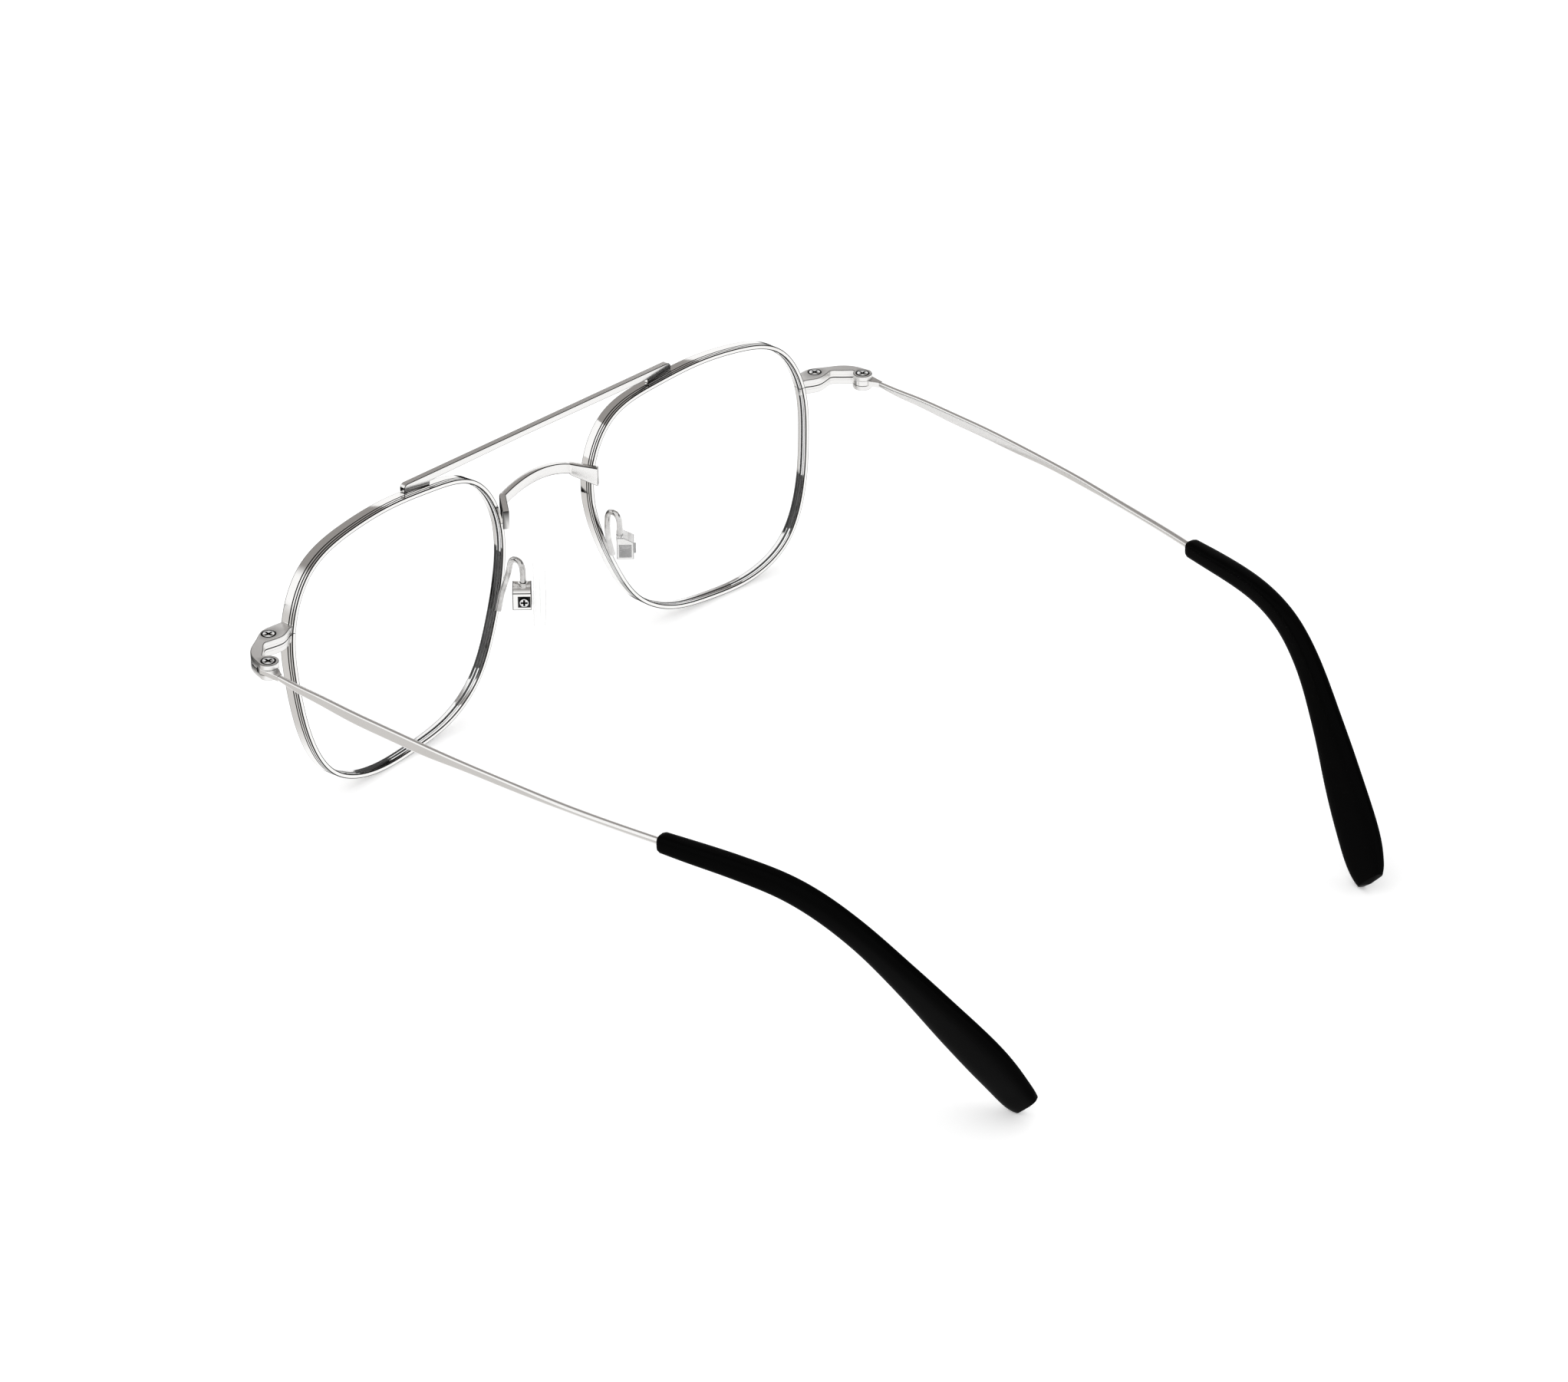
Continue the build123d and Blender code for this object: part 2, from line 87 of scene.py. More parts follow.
# Lens
lens_clearance = 0.05
lens_thickness = 1.5
lens_front_inset = 0.15
lens_radius = 480.0
lens_places = 240
dome_shares = [0.02, 0.2, 0.4, 0.6, 0.75, 0.87, 0.94, 0.98, 1.0]

# Lower bridge
bridge_half_span = 7.2
bridge_end_bottom = 33.1
bridge_height = 1.85
bridge_rise = 1.6
bridge_thickness = 1.1
bridge_rear_from_hinge = 10.25
bridge_edge = 0.16
bend_out = 0.35
bend_run = 0.5
bend_share = 0.25
tab_reach = 2.75
tab_back = 3.6
tab_middle = 32.65
tab_height = 3.3

# Pad arm. Its corners have X from the middle of the glasses, Y from the hinge and Z from the
# floor. The wire never runs along arm_side
arm_diameter = 0.95
arm_side = (0.3, 0.9, 0.3)
arm_points = [
    (13.05, -6.7, 17.0), (12.15, -6.7, 20.1), (11.22, -5.98, 23.4), (11.0, -5.4, 26.65),
    (11.0, -2.75, 26.65), (11.0, -2.75, 22.6),
]

# Pad box, with a dark square painted as the shade of a recess sunk round the screw, and a dark
# pocket painted at its back as shade. All are placed from its middle, and a pair says where a mark
# starts to fade and where it has
pad_angle = 45.0
pad_screw_head_radius = 0.85
pad_screw_head_from_centre = 1.75
square_face = (1.33, 1.38)
square_half = (0.98, 1.08)
pocket_half_depth = (0.94, 0.98)
pocket_half_height = (1.09, 1.13)
pocket_back = (-1.5, -1.45)

# Nose pad. The points of its outline are shares of its width and height. Its rows run from the
# middle of its flat back round its edge to the middle of its face, each with a share of the
# outline's size and one of the thickness
pad_from_screw = 1.5
pad_thickness = 2.0
pad_width = 7.8
pad_height = 12.2
pad_outline_shares = [
    (-0.13, 0.58), (-0.38, 0.44), (-0.48, 0.16), (-0.45, -0.15), (-0.27, -0.34),
    (0.06, -0.42), (0.40, -0.37), (0.52, -0.21), (0.36, 0.05), (0.17, 0.36),
]
pad_places = 96
pad_row_sizes = [0.03, 0.5, 0.86, 0.95, 0.99, 1.0, 1.0, 0.98, 0.92, 0.8, 0.6, 0.35, 0.03]
pad_row_lifts = [0.0, 0.0, 0.0, 0.05, 0.15, 0.3, 0.5, 0.68, 0.84, 0.93, 0.97, 0.99, 1.0]

# End piece and screws, their plan measured from the hinge and heights from the seam
end_piece_height = 2.65
outer_plan = [
    (-9.4, -7.5), (-6.93, -7.75), (-5.2, -7.65), (-4.3, -7.2), (-2.6, -6.1), (-0.6, -4.8),
    (0.95, -2.75), (1.65, 0.0),
]
inner_plan = [
    (-0.45, -1.95), (-1.8, -3.2), (-3.0, -4.6), (-4.1, -4.35), (-5.8, -4.0), (-7.0, -4.1),
    (-8.7, -5.05), (-9.9, -5.25), (-9.9, -5.85), (-9.4, -5.95),
]
closing_screw_plan = (-5.4, -6.2)
end_piece_edge = 0.14
edge_fade = 0.02
head_hole_radius = 1.19
end_hole_radius = 0.68
hole_edge = 0.05
hole_depth = 0.6
eye_slot_radius = 1.8
eye_slot_half = 0.49
eye_slot_fade = 0.04
eye_slot_step = 0.1
seam_half = 0.03
seam_edge = 0.05
seam_fade = 0.09
screw_head_radius = 1.1

# Marks on a screw's head, as shares of its radius: the painted shade of its cross recess, the
# painted shade of the ring round it, and its dome. Below head_side, in millimetres from its top, it
# is painted dark as shade
cross_half_width = (0.13, 0.2)
cross_half_length = (0.5, 0.66)
ring_inside = (0.8, 0.88)
head_dome = 0.4
head_side = (-0.13, -0.05)

# Temple. Its stations are shares of the way back to the tip, and of the blade's height for the
# rise and the height
temple_reach = 133.9
tip_from_hinge = 77.7
blade_thickness = 0.9
blade_height = 2.25
wire_diameter = 1.15
neck_offset = 0.8
straight_length = 6.0
temple_bow = 7.5
blade_shares = [
    (0.045, 0.0, 0.4), (0.098, -0.07, 0.6), (0.15, -0.04, 0.7), (0.25, -0.08, 0.86),
    (0.353, -0.04, 0.88), (0.452, -0.03, 0.84), (0.552, 0.04, 0.66), (0.655, 0.05, 0.6),
]
wire_shares = [(0.776, 0.03), (0.948, 0.05), (1.12, 0.05)]
temple_places = 170
blade_corner_share = 0.44
wire_corner_share = 0.49
knuckle_radius = 1.65
neck_length = 3.5
neck_inner_share = 0.33
eye_height = 0.9
eye_edge = 0.07
eye_hole_radius = 0.63

# Temple tip. Its stations are shares of its reach, of the inset, of the hinge's height, of the
# width and of the thickness
tip_inset = 26.0
tip_width = 8.5
tip_thickness = 2.9
tip_shares = [
    (0.0, 0.262, 1.002, 0.34, 0.9), (0.095, 0.3, 1.006, 0.365, 1.0),
    (0.19, 0.341, 1.009, 0.39, 1.0), (0.285, 0.387, 1.004, 0.415, 0.98),
    (0.362, 0.433, 0.987, 0.441, 0.96), (0.444, 0.488, 0.943, 0.481, 0.93),
    (0.519, 0.549, 0.871, 0.519, 0.9), (0.588, 0.615, 0.778, 0.57, 0.87),
    (0.652, 0.683, 0.67, 0.655, 0.84), (0.716, 0.753, 0.554, 0.775, 0.81),
    (0.778, 0.823, 0.434, 0.905, 0.785), (0.842, 0.893, 0.313, 0.995, 0.76),
    (0.902, 0.956, 0.192, 0.98, 0.72), (0.935, 0.992, 0.117, 0.88, 0.66),
    (0.96, 1.02, 0.07, 0.7, 0.58), (0.97, 1.035, 0.054, 0.56, 0.52),
]
tip_places = 150
tip_section_places = 48
tip_front_round = 0.9
tip_rear_round = 0.35
tip_least_squared = 0.0004
tip_bulge = 0.6

# Pieces made from the CAD solids: points nearer than weld_distance are one, faces that turn by
# less than flat_angle are joined, and edges sharper than bevel_angle are rounded
weld_distance = 0.002
flat_angle = 1.0
bevel_angle = 35.0
crease_angle = 38.0
bar_edge = 0.1
box_edge = 0.12
core_edge = 0.06
screw_edge = 0.04

# Floor, and upright cards that only shiny surfaces see: their left, right, low and high edges
# and their level
floor_half = 2500.0
floor_glow = 0.21
floor_white = 0.97
card_front = -112.0
cards = {
    "left_rim_black_card": (52.0, 110.0, 0.5, 45.0, 0.0),
    "right_rim_black_card": (-45.0, 20.0, 0.5, 33.0, 0.0),
    "white_card": (-110.0, 30.0, 34.0, 68.0, 1.0),
}

# Colours in the room that only shiny surfaces see
table_colour = (0.64, 0.625, 0.61, 1.0)
high_flag_colour = (0.3, 0.285, 0.275, 1.0)
right_flag_level = 0.05
low_flag_level = 0.1

# Finishes: noise grains to a metre, and how deep the hairlines are in metres. The painted shade is
# the near-black painted in the fine lines, grooves, gaps and holes and on round edges, standing for
# their shade and dark reflections
cloud_grain = 180.0
wire_grain = 700.0
box_grain = 400.0
screw_grain = 700.0
silicone_grain = 250.0
lens_grain = 60.0
acetate_grain = 90.0
hairline_grain = 2600.0
hairline_depth = 0.00002
painted_shade_colour = (0.012, 0.011, 0.01, 1.0)
acetate_hairline_grain = 900.0
acetate_hairline_depth = 0.00004

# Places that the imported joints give: the left hinge, the left pad screw and the screws' heads
joints = {joint["name"]: joint for joint in frame["joints"]}
hinge = np.array(joints["temple_left_fold"]["pos_m"]) / METRES
pad_centre = np.array(joints["pad_left_rock"]["pos_m"]) / METRES
pad_turn = math.radians(pad_angle)
pad_screw_axis = (math.sin(pad_turn), math.cos(pad_turn), 0.0)
nose_axis = (-math.cos(pad_turn), math.sin(pad_turn), 0.0)
pad_screw_axes = np.array([pad_screw_axis, nose_axis, (0.0, 0.0, 1.0)])
hinge_head = hinge + (0.0, 0.0, end_piece_height / 2)
closing_head = hinge_head + (*closing_screw_plan, 0.0)
pad_head = pad_centre + pad_screw_head_from_centre * pad_screw_axes[0]


class Value:
    """A node's output socket. A sum or product of such values adds a Math node."""

    def __init__(self, tree, socket):
        self.tree = tree
        self.socket = socket

    def math(self, operation, *terms):
        settings = {"operation": operation}
        return add_node(self.tree, "ShaderNodeMath", settings, dict(enumerate(terms)))

    def __add__(self, other):
        return self.math("ADD", self, other)

    def __sub__(self, other):
        return self.math("SUBTRACT", self, other)

    def __rsub__(self, other):
        return self.math("SUBTRACT", other, self)

    def __mul__(self, other):
        return self.math("MULTIPLY", self, other)

    def power(self, exponent):
        return self.math("POWER", self, exponent)

    def size(self):
        return self.math("ABSOLUTE", self)

    def ramp(self, low, high):
        """0 below low, 1 above high and smooth between them."""
        settings = {"interpolation_type": "SMOOTHSTEP"}
        sockets = {"Value": self, "From Min": low, "From Max": high}
        return add_node(self.tree, "ShaderNodeMapRange", settings, sockets)

    __radd__ = __add__
    __rmul__ = __mul__


def add_node(tree, kind, settings=None, sockets=None, output=0):
    """Adds a node, sets its settings, then its sockets' values or links, and gives an output."""
    node = tree.nodes.new(kind)
    for key, setting in (settings or {}).items():
        setattr(node, key, setting)
    for key, given in (sockets or {}).items():
        if isinstance(given, Value):
            tree.links.new(given.socket, node.inputs[key])
        else:
            node.inputs[key].default_value = given
    return Value(tree, node.outputs[output]) if node.outputs else None


def blend_colours(tree, factor, first, second):
    """The first colour where the factor is 0 and the second where it is 1."""
    settings = {"data_type": "RGBA"}
    return add_node(tree, "ShaderNodeMix", settings, {0: factor, 6: first, 7: second}, 2)


def noise(tree, scale, stretch=(1.0, 1.0, 1.0), detail=2.0):
    """Noise from 0 to 1 on the piece's own coordinates, its grains scaled by stretch."""
    place = add_node(tree, "ShaderNodeTexCoord", output="Object")
    moved = add_node(tree, "ShaderNodeMapping", {}, {"Vector": place, "Scale": stretch})
    sockets = {"Vector": moved, "Scale": scale, "Detail": detail}
    return add_node(tree, "ShaderNodeTexNoise", {}, sockets)


def bump(tree, height, strength, distance):
    """The surface's direction turned by the slope of a height."""
    sockets = {"Height": height, "Strength": strength, "Distance": distance}
    return add_node(tree, "ShaderNodeBump", {}, sockets)


def new_material(name):
    """An empty material and its node tree."""
    material = bpy.data.materials.new(name)
    material.use_nodes = True
    material.node_tree.nodes.clear()
    return material, material.node_tree


def end_with(tree, shader):
    """Links a surface shader to the material's output."""
    add_node(tree, "ShaderNodeOutputMaterial", {}, {"Surface": shader})


def end_with_finish(tree, sockets):
    """Ends a material with the Principled shader, its sockets given."""
    end_with(tree, add_node(tree, "ShaderNodeBsdfPrincipled", {}, sockets))


def grey(level):
    """A colour with equal parts."""
    return (level, level, level, 1.0)


def polished_metal(name, tint, shade, roughness, hairlines, grain=cloud_grain):
    """Plated metal: faint hairlines, cloudy polish, and near-black painted shade where the lines
    attribute is 1.
    """
    material, tree = new_material(name)
    cloud = noise(tree, grain)
    hair = noise(tree, hairline_grain, (1.0, 0.06, 1.0), 3.0)
    # The lines attribute is 1 where shade in grooves and dark reflections on round edges are
    # painted near-black
    painted_shade = add_node(tree, "ShaderNodeAttribute", {"attribute_name": "lines"}, output="Fac")
    clean = blend_colours(tree, cloud, shade, tint)
    sockets = {
        "Base Color": blend_colours(tree, painted_shade, clean, painted_shade_colour),
        "Metallic": 1.0,
        "Roughness": roughness + 0.05 * cloud + 0.3 * painted_shade,
        "Normal": bump(tree, hair, hairlines, hairline_depth),
    }
    end_with_finish(tree, sockets)
    return material


def along_axis(parts, axis, centre):
    """How far a place lies from the centre along an axis. It is the same on both sides."""
    x, y, z = parts
    offset = float(np.dot(centre, axis)) * METRES
    return x.size() * axis[0] + y * axis[1] + z * axis[2] - offset


def place_parts(tree, kind="Object"):
    """The three parts of a place on the piece, or of a direction in the room."""
    place = add_node(tree, "ShaderNodeTexCoord", output=kind)
    parts = add_node(tree, "ShaderNodeSeparateXYZ", {}, {0: place})
    return [Value(tree, parts.socket.node.outputs[index]) for index in range(3)]


def scaled(pair, unit_length):
    """Both ends of a fade, in metres."""
    return [end * unit_length for end in pair]


def screw_metal(name, centre, axes, radius):
    """Steel with a domed bright head and painted shade: a black cross in its recess, a black ring
    in the gap round it, and black below its top.
    The first axis is the screw's, from the centre of its head, and the others are the arms'."""
    material, tree = new_material(name)
    parts = place_parts(tree)
    height, first, second = (along_axis(parts, axis, centre) for axis in axes)
    reach = radius * METRES
    squared = first * first + second * second
    away = squared.power(0.5)
    deep = 1.0 - height.ramp(*scaled(head_side, METRES))
    narrow = first.math("MINIMUM", first.size(), second.size())
    arms = 1.0 - narrow.ramp(*scaled(cross_half_width, reach))
    cross = arms * (1.0 - away.ramp(*scaled(cross_half_length, reach)))
    ring = away.ramp(*scaled(ring_inside, reach))
    # Painted shade: the cross, the ring and all below the head's top go near-black
    dark = deep.math("MAXIMUM", deep, cross.math("MAXIMUM", cross, ring))
    cloud = noise(tree, screw_grain)
    clean = blend_colours(tree, cloud, grey(0.85), grey(0.97))
    dome = squared * (-head_dome / reach)
    sockets = {
        "Base Color": blend_colours(tree, dark, clean, grey(0.008)),
        "Metallic": 1.0,
        "Roughness": 0.1 + 0.1 * cloud + 0.4 * dark,
        "Normal": bump(tree, dome, 1.0, 1.0),
    }
    end_with_finish(tree, sockets)
    return material


def between(way, half):
    """1 nearer to the middle than a half width, on either side, and 0 past it."""
    return 1.0 - way.size().ramp(*scaled(half, METRES))


def boxed_metal(name):
    """The pad boxes' metal, with a dark square painted as the shade of a recess round the screw,
    and a pocket's shade painted dark.
    """
    material, tree = new_material(name)
    parts = place_parts(tree)
    along, across, rise = (along_axis(parts, axis, pad_centre) for axis in pad_screw_axes)
    face = along.ramp(*scaled(square_face, METRES))
    narrow = between(across, square_half)
    low = between(rise, square_half)
    sunk = face * narrow * low
    pocket = across.ramp(*scaled(pocket_back, METRES))
    pocket = pocket * between(along, pocket_half_depth)
    pocket = pocket * between(rise, pocket_half_height)
    # Painted shade: the sunk square and the pocket go near-black
    dark = sunk.math("MAXIMUM", sunk, pocket)
    cloud = noise(tree, box_grain)
    clean = blend_colours(tree, cloud, (0.94, 0.93, 0.915, 1), (0.98, 0.975, 0.965, 1))
    sockets = {
        "Base Color": blend_colours(tree, dark, clean, grey(0.03)),
        "Metallic": 1.0,
        "Roughness": 0.07 + 0.08 * cloud + 0.3 * dark,
    }
    end_with_finish(tree, sockets)
    return material


def milky_clear(name, cover):
    """Clear soft plastic, faintly milky: each face hides a little of what is behind it, and
    more where it turns away, where it is also painted grey as a dark outline."""
    material, tree = new_material(name)
    smear = noise(tree, silicone_grain)
    rim = add_node(tree, "ShaderNodeLayerWeight", {}, {"Blend": 0.3}, 1).power(5.0)
    white = blend_colours(tree, smear, grey(0.97), grey(1.0))
    sockets = {
        # Grey where the face turns away from view: a painted dark outline
        "Base Color": blend_colours(tree, rim, white, grey(0.3)),
        "Roughness": 0.1 + 0.1 * smear,
        "Alpha": cover + 0.06 * smear + 0.4 * rim,
        "IOR": 1.4,
    }
    end_with_finish(tree, sockets)
    return material


def clear_glass(name, tint, ior, roughness):
    """A clear solid: the light goes through it, bent by its index."""
    material, tree = new_material(name)
    smear = noise(tree, lens_grain)
    sockets = {
        "Base Color": blend_colours(tree, smear, tint, grey(1.0)),
        "Roughness": roughness * smear,
        "IOR": ior,
        "Transmission Weight": 1.0,
    }
    end_with_finish(tree, sockets)
    return material


def gloss_acetate(name):
    """Black plastic, polished, with faint cloudy wear and fine hairlines along it."""
    material, tree = new_material(name)
    wear = noise(tree, acetate_grain, (1.0, 0.5, 1.0), 3.0)
    hair = noise(tree, acetate_hairline_grain, (1.0, 0.15, 0.3), 3.0)
    sockets = {
        "Base Color": blend_colours(tree, wear, grey(0.0008), grey(0.002)),
        "Roughness": 0.2 + 0.14 * wear,
        "Specular IOR Level": 0.015,
        "Normal": bump(tree, hair, 0.06, acetate_hairline_depth),
    }
    end_with_finish(tree, sockets)
    return material


# Materials. Each plated metal has its tint, its shade, how rough it is and its hairlines
bright, dull = (0.94, 0.93, 0.915, 1), (0.9, 0.89, 0.88, 1)
dark_wire, edge_shade_dark = (0.3, 0.29, 0.28, 1), (0.05, 0.048, 0.045, 1)
silver = polished_metal("polished_silver", (0.98, 0.975, 0.965, 1), bright, 0.035, 0.03)
satin_silver = polished_metal("satin_silver", (0.96, 0.953, 0.94, 1), dull, 0.16, 0.1)
block_silver = polished_metal("block_silver", (0.97, 0.963, 0.95, 1), dull, 0.32, 0.1)
wire_silver = polished_metal(
    "wire_silver", (0.95, 0.94, 0.93, 1), dark_wire, 0.05, 0.1, wire_grain
)
# Near-black metal for round edges: a painted dark outline, standing for dark reflections
painted_dark_edge = polished_metal("painted_dark_edge", (0.12, 0.115, 0.11, 1), edge_shade_dark, 0.25, 0.1)
box_silver = boxed_metal("pad_box_silver")
screw_steels = {
    "hinge": screw_metal("hinge_screw_steel", hinge_head, UPRIGHT_AXES, screw_head_radius),
    "closing": screw_metal("closing_screw_steel", closing_head, UPRIGHT_AXES, screw_head_radius),
    "pad": screw_metal("pad_screw_steel", pad_head, pad_screw_axes, pad_screw_head_radius),
}
lens_glass = clear_glass("lens_glass", (0.985, 0.99, 0.99, 1), 1.45, 0.01)
silicone = milky_clear("pad_silicone", 0.1)
core_plastic = milky_clear("pad_core_plastic", 0.04)
acetate = gloss_acetate("tip_acetate")


def spline(stations, count, closed=False, path_columns=3):
    """Even places on the cubic curve through the stations, smooth to its second derivative.
    Its knots are the running lengths between stations in their first columns."""
    stations = np.asarray(stations, float)
    ends = np.vstack([stations, stations[:1]]) if closed else stations
    steps = np.linalg.norm(np.diff(ends[:, :path_columns], axis=0), axis=1)
    knots = np.concatenate([[0.0], np.cumsum(steps)])
    chords = np.diff(ends, axis=0) / steps[:, None]
    total = len(stations)
    system = np.eye(total)
    sums = np.vstack([chords[:1], np.zeros((total - 2, stations.shape[1])), chords[-1:]])
    for index in range(total) if closed else range(1, total - 1):
        before, after = steps[index - 1], steps[index]
        system[index, index] = 2 * (before + after)
        system[index, index - 1] = after
        system[index, (index + 1) % total] = before
        sums[index] = 3 * (after * chords[index - 1] + before * chords[index])
    slopes = np.linalg.solve(system, sums)
    slopes = np.vstack([slopes, slopes[:1]]) if closed else slopes
    fine = np.linspace(0, knots[-1], 60 * len(steps) + 1)
    span = np.clip(np.searchsorted(knots, fine, side="right") - 1, 0, len(steps) - 1)
    step = steps[span][:, None]
    t = (fine - knots[span])[:, None] / step
    curve = (
        (1 + 2 * t) * (1 - t) ** 2 * ends[span]
        + t * (1 - t) ** 2 * step * slopes[span]
        + t**2 * (3 - 2 * t) * ends[span + 1]
        - t**2 * (1 - t) * step * slopes[span + 1]
    )
    moved = np.linalg.norm(np.diff(curve[:, :path_columns], axis=0), axis=1)
    length = np.concatenate([[0.0], np.cumsum(moved)])
    places = np.linspace(0, length[-1], count, endpoint=not closed)
    return np.stack([np.interp(places, length, column) for column in curve.T], axis=1)


def unit(vectors):
    """Each vector divided by its length."""
    return vectors / np.linalg.norm(vectors, axis=-1, keepdims=True)


def round_the_corners(points, times):
    """Cuts each corner of an open path at a quarter of its runs, over and over."""
    for _ in range(times):
        here, ahead = points[:-1], points[1:]
        cut = np.stack([0.75 * here + 0.25 * ahead, 0.25 * here + 0.75 * ahead], axis=1)
        points = np.vstack([points[:1], cut.reshape(-1, points.shape[1]), points[-1:]])
    return points


def round_boxes(half_width, half_height, corner, steps=6):
    """Sections that are rectangles with round corners, one row for each place."""
    quarter = np.linspace(0, math.pi / 2, steps + 1)
    angles = np.concatenate([quarter + turn * math.pi / 2 for turn in range(4)])
    side = np.repeat([1, -1, -1, 1], steps + 1)
    rise = np.repeat([1, 1, -1, -1], steps + 1)
    across = (half_width - corner)[:, None] * side + corner[:, None] * np.cos(angles)
    up = (half_height - corner)[:, None] * rise + corner[:, None] * np.sin(angles)
    return across, up


def carry(path, across_axis, up_axis, across, up):
    """A section set on each place of a path, square to it."""
    sideways = across[..., None] * across_axis[:, None]
    return path[:, None] + sideways + up[..., None] * up_axis[:, None]


def steep_frames(path):
    """For each place of a path, the axis across it nearest to X, and the one square to both."""
    heading = unit(np.gradient(path, axis=0))
    sideways = np.array([1.0, 0.0, 0.0])
    across = unit(sideways - heading * (heading @ sideways)[:, None])
    return across, np.cross(across, heading)


def make_mesh(name, points, faces, attributes=None):
    """A mesh from points in millimetres, closed, smooth, its faces outwards, creases kept."""
    mesh = bpy.data.meshes.new(name)
    mesh.from_pydata((points * METRES).tolist(), [], faces)
    for key, numbers in (attributes or {}).items():
        layer = mesh.attributes.new(key, "FLOAT", "POINT")
        layer.data.foreach_set("value", np.asarray(numbers, np.float32))
    shape = bmesh.new()
    shape.from_mesh(mesh)
    bmesh.ops.recalc_face_normals(shape, faces=shape.faces)
    shape.to_mesh(mesh)
    shape.free()
    mesh.shade_smooth()
    mesh.set_sharp_from_angle(angle=math.radians(crease_angle))
    return mesh


def add_piece(name, mesh, material, body, node):
    """Puts a finished mesh in the scene, in place of its CAD node and riding on its body."""
    piece = bpy.data.objects.new(name, mesh)
    bpy.context.scene.collection.objects.link(piece)
    mesh.materials.clear()
    mesh.materials.append(material)
    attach(piece, body)
    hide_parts(node)
    return piece


def let_light_through(piece):
    """Clear pieces throw no shadow and send no grey light on to the floor."""
    piece.visible_shadow = False
    piece.visible_diffuse = False


def grid_faces(rows, columns, ring=False):
    """Quads between the rows of a grid whose columns go round, with an end face on each side
    unless the rows go round too."""
    index = np.arange(rows * columns).reshape(rows, columns)
    below = index if ring else index[:-1]
    above = np.roll(index, -1, axis=0) if ring else index[1:]
    corners = [below, np.roll(below, -1, axis=1), np.roll(above, -1, axis=1), above]
    faces = np.stack(corners, axis=-1).reshape(-1, 4).tolist()
    if not ring:
        faces += [index[0, ::-1].tolist(), index[-1].tolist()]
    return faces


def grid_mesh(name, grid, ring=False, attributes=None):
    """A mesh whose points are a grid of places."""
    rows, columns = grid.shape[:2]
    return make_mesh(name, grid.reshape(-1, 3), grid_faces(rows, columns, ring), attributes)


def mirror(points, side):
    """Places with their X turned over for the right side."""
    return points * np.array([side, 1.0, 1.0])


# Frame front: its plane, and the closed curve round the rim's outside
wrap = math.radians(wrap_angle)
tilt = math.radians(tilt_angle)
rim_back = math.sin(wrap)
rim_out = np.array([math.cos(wrap), rim_back * math.cos(tilt), rim_back * math.sin(tilt)])
rim_up = np.array([0.0, -math.sin(tilt), math.cos(tilt)])
rim_forward = np.cross(rim_out, rim_up)
rim_centre = np.array(
    [
        rim_gap / 2 + rim_width / 2 * math.cos(wrap),
        hinge[1] - hinge_to_rim,
        rim_height / 2 * math.cos(tilt),
    ]
)


def oval(count):
    """Even places round the rim's outside and the inward direction at each, both flat."""
    points = np.array(outline_shares) * (rim_width / 2, rim_height / 2)
    line = spline(points, count, closed=True, path_columns=2)
    heading = unit(np.roll(line, -1, axis=0) - np.roll(line, 1, axis=0))
    return line, np.stack([-heading[:, 1], heading[:, 0]], axis=1)


def on_front(flat, depth):
    """Places in the rim's plane, given across and up it, set back by a depth."""
    return (
        rim_centre
        + flat[..., :1] * rim_out
        + flat[..., 1:2] * rim_up
        - depth[..., None] * rim_forward
    )


def rim_profile():
    """The rim's section as inset, depth and painted shade, once round: its outer face with two fine
    lines, its rear, its inner face with the lens groove, and its front. Each corner is round. The
    fine lines and the lens groove are painted near-black as their shade, and the round corners as
    dark reflections."""
    turn = rim_edge * (1 - np.cos(np.linspace(0, math.pi / 2, 4)))
    back = turn[::-1]
    flat = rim_edge + rim_edge_fade
    rows = [(flat, 0.0, 0.0)]
    # The third number of each row is painted shade: 1 paints that row near-black
    rows += [(a, b, 1.0) for a, b in zip(back, turn)]
    rows += [(0.0, flat, 0.0)]
    for start in line_starts:
        end = start + line_width
        rows += [
            (0.0, start - 2 * line_lip, 0.0),
            (0.0, start - line_lip, 1.0),
            (line_depth, start + line_lip, 1.0),
            (line_depth, end - line_lip, 1.0),
            (0.0, end + line_lip, 1.0),
            (0.0, end + 2 * line_lip, 0.0),
        ]
    rows += [(0.0, rim_depth - flat, 0.0)]
    rows += [(a, rim_depth - b, 1.0) for a, b in zip(turn, back)]
    rows += [(flat, rim_depth, 0.0), (rim_wall - flat, rim_depth, 0.0)]
    rows += [(rim_wall - a, rim_depth - b, 1.0) for a, b in zip(back, turn)]
    rows += [
        (rim_wall, rim_depth - flat, 0.0),
        (rim_wall, groove_back + 2 * line_lip, 0.0),
        (rim_wall, groove_back, 1.0),
        (groove_inset, groove_back, 1.0),
        (groove_inset, groove_front, 1.0),
        (rim_wall, groove_front, 1.0),
        (rim_wall, groove_front - 2 * line_lip, 0.0),
        (rim_wall, flat, 0.0),
    ]
    rows += [(rim_wall - a, b, 1.0) for a, b in zip(turn, back)]
    return np.array(rows)


